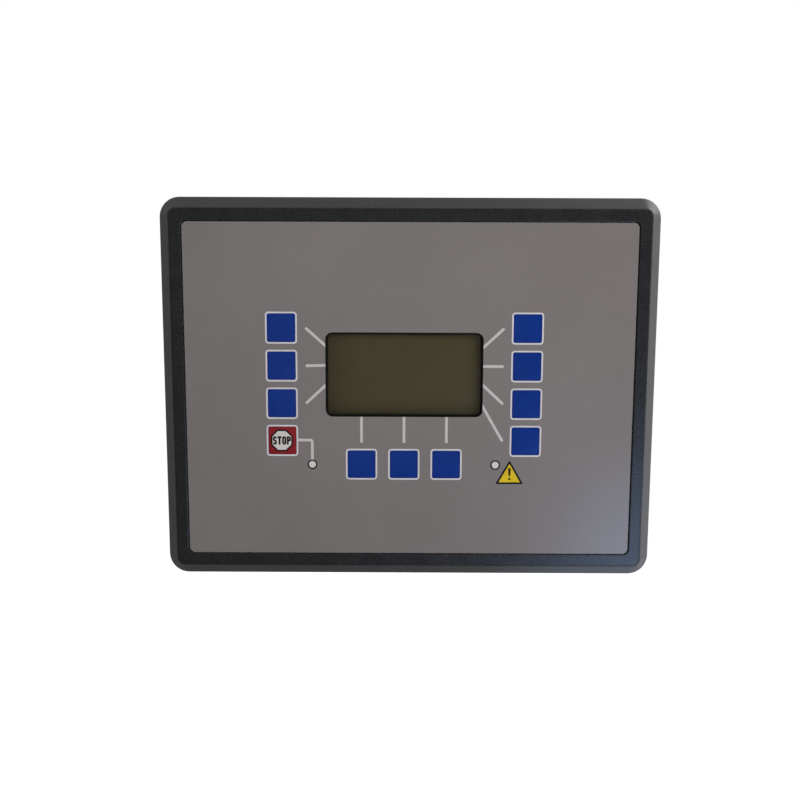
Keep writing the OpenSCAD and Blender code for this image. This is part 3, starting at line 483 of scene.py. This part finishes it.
def pointers():
    """Lines from the keys to the lines of text that they choose on the display."""
    low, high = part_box("display_window")
    edge_left, edge_right = low.x / MM + WINDOW_LEDGE, high.x / MM - WINDOW_LEDGE
    edge_bottom = low.z / MM + WINDOW_LEDGE
    shapes = []
    for side, inward, edge in (("left", 1, edge_left), ("right", -1, edge_right)):
        for row, end_z in enumerate(POINTER_ENDS[side], 1):
            x, z = middle(f"softkey_{side}_{row}")
            shapes.append(line_to_edge((x + inward * POINTER_START[side], z), (edge, end_z)))
    for key in (k for k in SOFT_KEYS if "bottom" in k):
        x, z = middle(key)
        shapes.append(stroke([(x, edge_bottom), (x, z + LOWER_POINTER_END)], POINTER_W))
    stop_x, stop_z = middle("stop_key")
    lamp_x, lamp_z = middle("stop_lamp_lens")
    lead_z = stop_z + LEAD_RISE
    bend = arc(lamp_x - LEAD_BEND_R, lead_z - LEAD_BEND_R, LEAD_BEND_R, 90, 0, 6)
    lead = [(stop_x + KEY_OUTLINE / 2, lead_z)] + bend + [(lamp_x, lamp_z + LAMP_RING_R)]
    shapes.append(stroke(lead, POINTER_W))
    print_on("pointer_lines", OVERLAY_Y - INK_T, INK_LINE, shapes)


def lamp_rings():
    """Black ring round each lamp."""
    shapes = []
    for lens in ("stop_lamp_lens", "alarm_lamp_lens"):
        x, z = middle(lens)
        shapes.append((circle(x, z, LAMP_RING_R), circle(x, z, LAMP_RING_HOLE_R)))
    print_on("lamp_rings", OVERLAY_Y - INK_T, INK_BLACK, shapes)


def rounded_triangle(x, base_z, side, r):
    """Outline of an equal-sided triangle with rounded corners, standing on its base."""
    height = side * math.sin(math.radians(60))
    corner_x, low_z, high_z = side / 2 - r * math.sqrt(3), base_z + r, base_z + height - 2 * r
    return (arc(x + corner_x, low_z, r, -90, 30, 6) + arc(x, high_z, r, 30, 150, 6)
            + arc(x - corner_x, low_z, r, 150, 270, 6))


def alarm_sign():
    """General alarm sign beside the alarm lamp: a black-edged yellow triangle with a bar and a dot."""
    lamp_x, lamp_z = middle("alarm_lamp_lens")
    x, base_z = lamp_x + ALARM_SIGN_SHIFT[0], lamp_z + ALARM_SIGN_SHIFT[1]
    field_side = ALARM_SIGN_SIDE - 2 * ALARM_SIGN_BORDER * math.sqrt(3)
    print_on("alarm_sign_edge", OVERLAY_Y - INK_T, INK_BLACK,
             [rounded_triangle(x, base_z, ALARM_SIGN_SIDE, ALARM_SIGN_R)])
    print_on("alarm_sign_field", OVERLAY_Y - 2 * INK_T, INK_YELLOW,
             [rounded_triangle(x, base_z + ALARM_SIGN_BORDER, field_side, ALARM_FIELD_R)])
    (foot, head), (foot_half, head_half) = ALARM_BAR_Z, ALARM_BAR_HALF_W
    bar = [(x - foot_half, base_z + foot), (x + foot_half, base_z + foot),
           (x + head_half, base_z + head), (x - head_half, base_z + head)]
    dot = circle(x, base_z + ALARM_DOT_Z, ALARM_DOT_R)
    print_on("alarm_sign_mark", OVERLAY_Y - 3 * INK_T, INK_BLACK, [bar, dot])


def letter_shapes(letter, x, z):
    """Condensed capital as strokes about a middle point; half_w and half_h reach to the strokes' middles."""
    half_w, half_h = (LETTER_W - LETTER_T) / 2, (LETTER_H - LETTER_T) / 2
    if letter == "S":
        angles = [math.radians(a) for a in range(15, 271, 15)]
        bowl = [(half_w * math.cos(a), half_h / 2 * math.sin(a)) for a in angles]
        upper = [(x + dx, z + half_h / 2 + dz) for dx, dz in bowl]
        lower = [(x - dx, z - half_h / 2 - dz) for dx, dz in bowl[::-1]]
        return [stroke(upper + lower[1:], LETTER_T)]
    if letter == "T":
        arm = half_w + LETTER_T / 2
        return [stroke([(x - arm, z + half_h), (x + arm, z + half_h)], LETTER_T),
                stroke([(x, z + half_h - LETTER_T / 2), (x, z - LETTER_H / 2)], LETTER_T)]
    if letter == "O":
        # the round ends keep a short flat, outside and inside
        outer_flat, inner_flat = 0.05, 0.03
        inner_w, inner_h = LETTER_W - 2 * LETTER_T, LETTER_H - 2 * LETTER_T
        return [(rounded_box(x, z, LETTER_W, LETTER_H, LETTER_W / 2 - outer_flat),
                 rounded_box(x, z, inner_w, inner_h, inner_w / 2 - inner_flat))]
    # what is left is the P: a stem and a bowl that is flattened to the letter's width
    turn, bowl_depth = half_h / 2, 0.7
    bowl = [(x - half_w, z + half_h)]
    bowl += arc(x + half_w - turn * bowl_depth, z + half_h - turn, turn, 90, -90, 10)
    bowl = [(min(px, x + half_w), pz) for px, pz in bowl] + [(x - half_w, z)]
    stem = [(x - half_w, z - LETTER_H / 2), (x - half_w, z + LETTER_H / 2)]
    return [stroke(stem, LETTER_T), stroke(bowl, LETTER_T)]


def stop_sign():
    """Octagon and word on the stop key, which move with the key."""
    x, z = middle("stop_key")
    x += STOP_SIGN_SHIFT
    crown = front_of("stop_key")

    def octagon(across):
        r = across / 2 / math.cos(math.radians(22.5))
        return arc(x, z, r, 22.5, 337.5, 7)

    print_on("stop_sign_edge", crown - INK_T, INK_BLACK, [octagon(STOP_SIGN_ACROSS)],
             "stop_key")
    print_on("stop_sign_field", crown - 2 * INK_T, INK_WHITE, [octagon(STOP_FIELD_ACROSS)],
             "stop_key")
    shapes = []
    for i, letter in enumerate("STOP"):
        shapes += letter_shapes(letter, x + (i - 1.5) * (LETTER_W + LETTER_GAP), z)
    print_on("stop_sign_word", crown - 3 * INK_T, INK_BLACK, shapes, "stop_key")


key_outlines()
pointers()
lamp_rings()
alarm_sign()
stop_sign()


# Small metal parts at the back

# poles and their spacing in each terminal
TERMINAL_POLES = (("terminal_plug_top_left", 20, 5.08), ("terminal_plug_top_right", 20, 5.08),
                  ("terminal_plug_bottom_left", 20, 5.08), ("voltage_plug", 8, 7.62),
                  ("current_terminal", 6, 6.2))


def bridge(mesh, loops):
    """Faces between neighbouring closed loops of equally many points."""
    for first, second in zip(loops, loops[1:]):
        for i in range(len(first)):
            mesh.faces.new((first[i - 1], first[i], second[i], second[i - 1]))


def socket_contacts():
    """Eight gold-plated springs in the mouth of the service socket, bent up towards its back."""
    count, pitch, width, sheet, socket_wall = 8, 1.02, 0.5, 0.3, 2.7
    # bends of a spring, inward from the mouth and up from the socket's inner wall
    bends = ((2.4, 0.27), (3.8, 0.4), (12.0, 4.1))
    low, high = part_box("service_socket")
    mouth_x, wall_y, middle_z = high.x / MM, low.y / MM + socket_wall, (low.z + high.z) / 2 / MM
    side_view = stroke([(mouth_x - inward, wall_y + up) for inward, up in bends], sheet)
    mesh = bmesh.new()
    for i in range(count):
        z = middle_z + (i - (count - 1) / 2) * pitch
        sides = [[mesh.verts.new((x * MM, y * MM, (z + half) * MM)) for x, y in side_view]
                 for half in (-width / 2, width / 2)]
        bridge(mesh, sides)
        for side in sides:
            mesh.faces.new(side)
    add_piece("socket_contacts", mesh, GOLD_PLATE, BODY)


def insert_threads():
    """Thread in each insert: a ridge that winds along the bore."""
    bore_r, crest_r, pitch, half_ridge, lead_in, steps = 1.62, 1.4, 0.7, 0.3, 0.4, 20
    ridge = ((bore_r, -half_ridge), (crest_r, 0.0), (bore_r, half_ridge))
    # the inserts' own radius, how far the corner ones sit inward, and the spans between the others
    outer_r, corner_inset, span_x, span_z = 2.8, 2.0, 94.0, 72.0
    low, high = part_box("thread_inserts")
    far_x, far_z = high.x / MM - outer_r, high.z / MM - outer_r
    start, turns = low.y / MM + lead_in, int((high.y - low.y) / MM / pitch) - 1
    spots = [(far_x - corner_inset, far_z - corner_inset), (span_x / 2, far_z), (far_x, span_z / 2)]
    mesh = bmesh.new()
    for x, z in [(sx * x, sz * z) for x, z in spots for sx in (-1, 1) for sz in (-1, 1)]:
        rows = []
        for i in range(turns * steps + 1):
            angle, y = 2 * math.pi * i / steps, start + pitch * i / steps
            points = [(x + r * math.cos(angle), y + dy, z + r * math.sin(angle)) for r, dy in ridge]
            rows.append([mesh.verts.new(Vector(point) * MM) for point in points])
        bridge(mesh, rows)
        mesh.faces.new(rows[0])
        mesh.faces.new(rows[-1])
    add_piece("insert_threads", mesh, BRASS_TURNED, BODY)


def wire_cages():
    """Bent steel cage in every wire hole of the terminals, which the clamp screw draws shut."""
    hole_w, hole_h, hole_y, wall, outer_r, inner_r = 3.5, 3.7, 9.0, 0.45, 0.5, 0.23
    top, foot = 1.0, 7.5
    mesh = bmesh.new()
    for node_name, poles, pitch in TERMINAL_POLES:
        low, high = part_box(node_name)
        upward = 1 if high.z > 0 else -1
        face_z = (high.z if upward > 0 else low.z) / MM
        middle_x, y = (low.x + high.x) / 2 / MM, high.y / MM - hole_y
        for i in range(poles):
            x = middle_x + (i - (poles - 1) / 2) * pitch
            loops = []
            for inset, r, depth in ((0, outer_r, top), (0, outer_r, foot), (wall, inner_r, foot),
                                    (wall, inner_r, top)):
                outline = rounded_box(x, y, hole_w - 2 * inset, hole_h - 2 * inset, r, steps=2)
                z = face_z - upward * depth
                loops.append([mesh.verts.new((px * MM, py * MM, z * MM)) for px, py in outline])
            bridge(mesh, loops + loops[:1])
    add_piece("wire_cages", mesh, STEEL_ZINC, BODY)


socket_contacts()
insert_threads()
wire_cages()


# Studio

# camera that took the photograph, found from the flange's corners and the keys
CAMERA_AT = Vector((-4.76, -395.2, 33.7)) * MM
CAMERA_TURN = [math.radians(a) for a in (84.24, -0.222, 0.105)]
CAMERA_LENS = 30.6
SENSOR_W = 36.0
FLOOR_DROP = 0.5
FLOOR_LIFT = 0.93
FLOOR_FIBRE_MM = 40
STUDIO_SIZE = 3.0
# place and size of each soft light in metres, and its power in watts
SOFTBOXES = {
    "key_softbox": ((0.75, -0.75, 0.5), 0.5, 12.2),
    "fill_softbox": ((-0.15, -1.4, 0.1), 1.0, 8.0),
    "back_softbox": ((-0.35, 1.0, 0.55), 0.6, 15.0),
}
# The room's light depends on the direction from the part. A range holds an axis, the stretch of that axis
# over which the light changes, and the share of the light at the stretch's two ends.
ROOM_UP_LEVELS = (-0.6, 1.0, 0.21, 0.395)
ROOM_RIGHT_LEVEL = 0.43
ROOM_RIGHT = (X, -0.1, 0.8, 0.0, 1.0)
ROOM_FAR_LEFT = (X, -0.9, -0.3, 0.94, 1.0)
ROOM_CAMERA_SIDE = (Y, -0.75, 0.2, 0.06, 1.0)
# lamp that lights up the top right corner's slope: where it stands, its spread and its level
CORNER_LIGHT = (0.64, 0.54, 0.55)
CORNER_LIGHT_SPREAD = (0.92, 0.99)
CORNER_LIGHT_LEVEL = 0.85
# window low on the right that the sheen on the front shows, then the walls that it lights beside and
# below it; each has its level and its ranges
WINDOW_GLOWS = (
    (5.6, ((X, 0.225, 0.285, 0.0, 1.0), (X, 0.38, 0.46, 1.0, 0.0),
           (Z, -0.27, -0.18, 1.0, 0.0), (Z, -0.56, -0.44, 0.0, 1.0))),
    (1.2, ((X, 0.5, 0.6, 0.0, 1.0), (Y, -0.3, 0.2, 1.0, 0.12), (Z, -0.27, -0.1, 1.0, 0.0))),
    (0.4, ((X, 0.14, 0.22, 0.0, 1.0), (X, 0.36, 0.5, 1.0, 0.0),
           (Y, -0.5, 0.2, 2.5, 1.0), (Z, -0.5, -0.38, 1.0, 0.0))),
)


def camera():
    """Camera at the photograph's place."""
    data = bpy.data.cameras.new("camera")
    data.lens = CAMERA_LENS
    data.sensor_width = SENSOR_W
    made = bpy.data.objects.new("camera", data)
    made.location = CAMERA_AT
    made.rotation_euler = CAMERA_TURN
    bpy.context.scene.collection.objects.link(made)
    bpy.context.scene.camera = made


def softbox(name, place, size, power):
    """Square soft light that faces the controller; neither the camera nor the gloss shows it."""
    data = bpy.data.lights.new(name, "AREA")
    data.size = size
    data.energy = power
    made = bpy.data.objects.new(name, data)
    made.location = place
    made.rotation_euler = (-Vector(place)).to_track_quat("-Z", "Y").to_euler()
    made.visible_camera = False
    made.visible_glossy = False
    bpy.context.scene.collection.objects.link(made)


def floor():
    """Pale floor well below the part, which takes its shadow and reads white to the camera."""
    low = cad_box[0].z - FLOOR_DROP
    bpy.ops.mesh.primitive_plane_add(size=STUDIO_SIZE, location=(0, 0, low))
    made = bpy.context.object
    made.name = "floor"
    material, tree = new_material("paper_floor_grey")
    place = add(tree, "TexCoord").outputs["Object"]
    fibre = add(tree, "TexNoise", {"Vector": place, "Scale": per_metre(FLOOR_FIBRE_MM), "Detail": 3.0})
    shade = add(tree, "Mix", {0: fibre.outputs[0], 6: linear("#a4a4a4"), 7: linear("#b0b0b0")},
                data_type="RGBA")
    matt = add(tree, "BsdfDiffuse", {"Color": shade.outputs[2]})
    lift = add(tree, "Emission", {"Strength": FLOOR_LIFT})
    none = add(tree, "Emission", {"Strength": 0.0})
    seen = add(tree, "LightPath").outputs["Is Camera Ray"]
    pick = add(tree, "MixShader", {0: seen, 1: none.outputs[0], 2: lift.outputs[0]})
    both = add(tree, "AddShader", {0: matt.outputs[0], 1: pick.outputs[0]})
    add(tree, "OutputMaterial", {"Surface": both.outputs[0]})
    made.data.materials.append(material)
    made.visible_glossy = False


def graded(tree, axes, level, ranges):
    """A level of light, times its share over each range of direction."""
    for axis, start, end, first, last in ranges:
        share = add(tree, "MapRange", {0: axes.outputs[axis], 1: start, 2: end, 3: first, 4: last},
                    interpolation_type="SMOOTHSTEP")
        level = add(tree, "Math", {0: level, 1: share.outputs[0]}, operation="MULTIPLY").outputs[0]
    return level


def surround():
    """Studio room: brightest to the right, softer above, dim on the camera's side; white to the camera.

    The sheen alone also shows the cool light of a window low on the right.
    """
    world = bpy.data.worlds.new("studio")
    bpy.context.scene.world = world
    world.use_nodes = True
    world.cycles.sampling_method = "NONE"
    tree = world.node_tree
    tree.nodes.clear()
    toward = add(tree, "TexCoord").outputs["Generated"]
    axes = add(tree, "SeparateXYZ", {0: toward})
    path = add(tree, "LightPath")

    right = graded(tree, axes, ROOM_RIGHT_LEVEL, [ROOM_RIGHT])
    low, high, low_level, high_level = ROOM_UP_LEVELS
    up = add(tree, "MapRange", {0: axes.outputs[Z], 1: low, 2: high, 3: low_level, 4: high_level})
    room = add(tree, "Math", {0: right, 1: up.outputs[0]}, operation="ADD").outputs[0]
    room = graded(tree, axes, room, [ROOM_FAR_LEFT, ROOM_CAMERA_SIDE])
    near_corner = add(tree, "VectorMath", {0: toward, 1: Vector(CORNER_LIGHT).normalized()},
                      operation="DOT_PRODUCT").outputs["Value"]
    far, near = CORNER_LIGHT_SPREAD
    spot = add(tree, "MapRange", {0: near_corner, 1: far, 2: near, 3: 0.0, 4: CORNER_LIGHT_LEVEL},
               interpolation_type="SMOOTHSTEP")
    level = add(tree, "Math", {0: room, 1: spot.outputs[0]}, operation="ADD")
    light = add(tree, "Background", {"Color": linear("#fffcff"), "Strength": level.outputs[0]})

    glow = 0.0
    for peak, ranges in WINDOW_GLOWS:
        part = graded(tree, axes, peak, ranges)
        glow = add(tree, "Math", {0: glow, 1: part}, operation="ADD").outputs[0]
    shown = add(tree, "Math", {0: glow, 1: path.outputs["Is Glossy Ray"]}, operation="MULTIPLY")
    window = add(tree, "Background", {"Color": linear("#aac5f2"), "Strength": shown.outputs[0]})

    lit = add(tree, "AddShader", {0: light.outputs[0], 1: window.outputs[0]})
    white = add(tree, "Background", {"Color": linear("#ffffff"), "Strength": 1.0})
    through = add(tree, "Math", {0: path.outputs["Is Camera Ray"], 1: path.outputs["Is Transmission Ray"]},
                  operation="MAXIMUM")
    both = add(tree, "MixShader", {0: through.outputs[0], 1: lit.outputs[0], 2: white.outputs[0]})
    add(tree, "OutputWorld", {"Surface": both.outputs[0]})


camera()
floor()
surround()
for name, (place, size, power) in SOFTBOXES.items():
    softbox(name, place, size, power)

bpy.context.scene.view_settings.view_transform = "Standard"
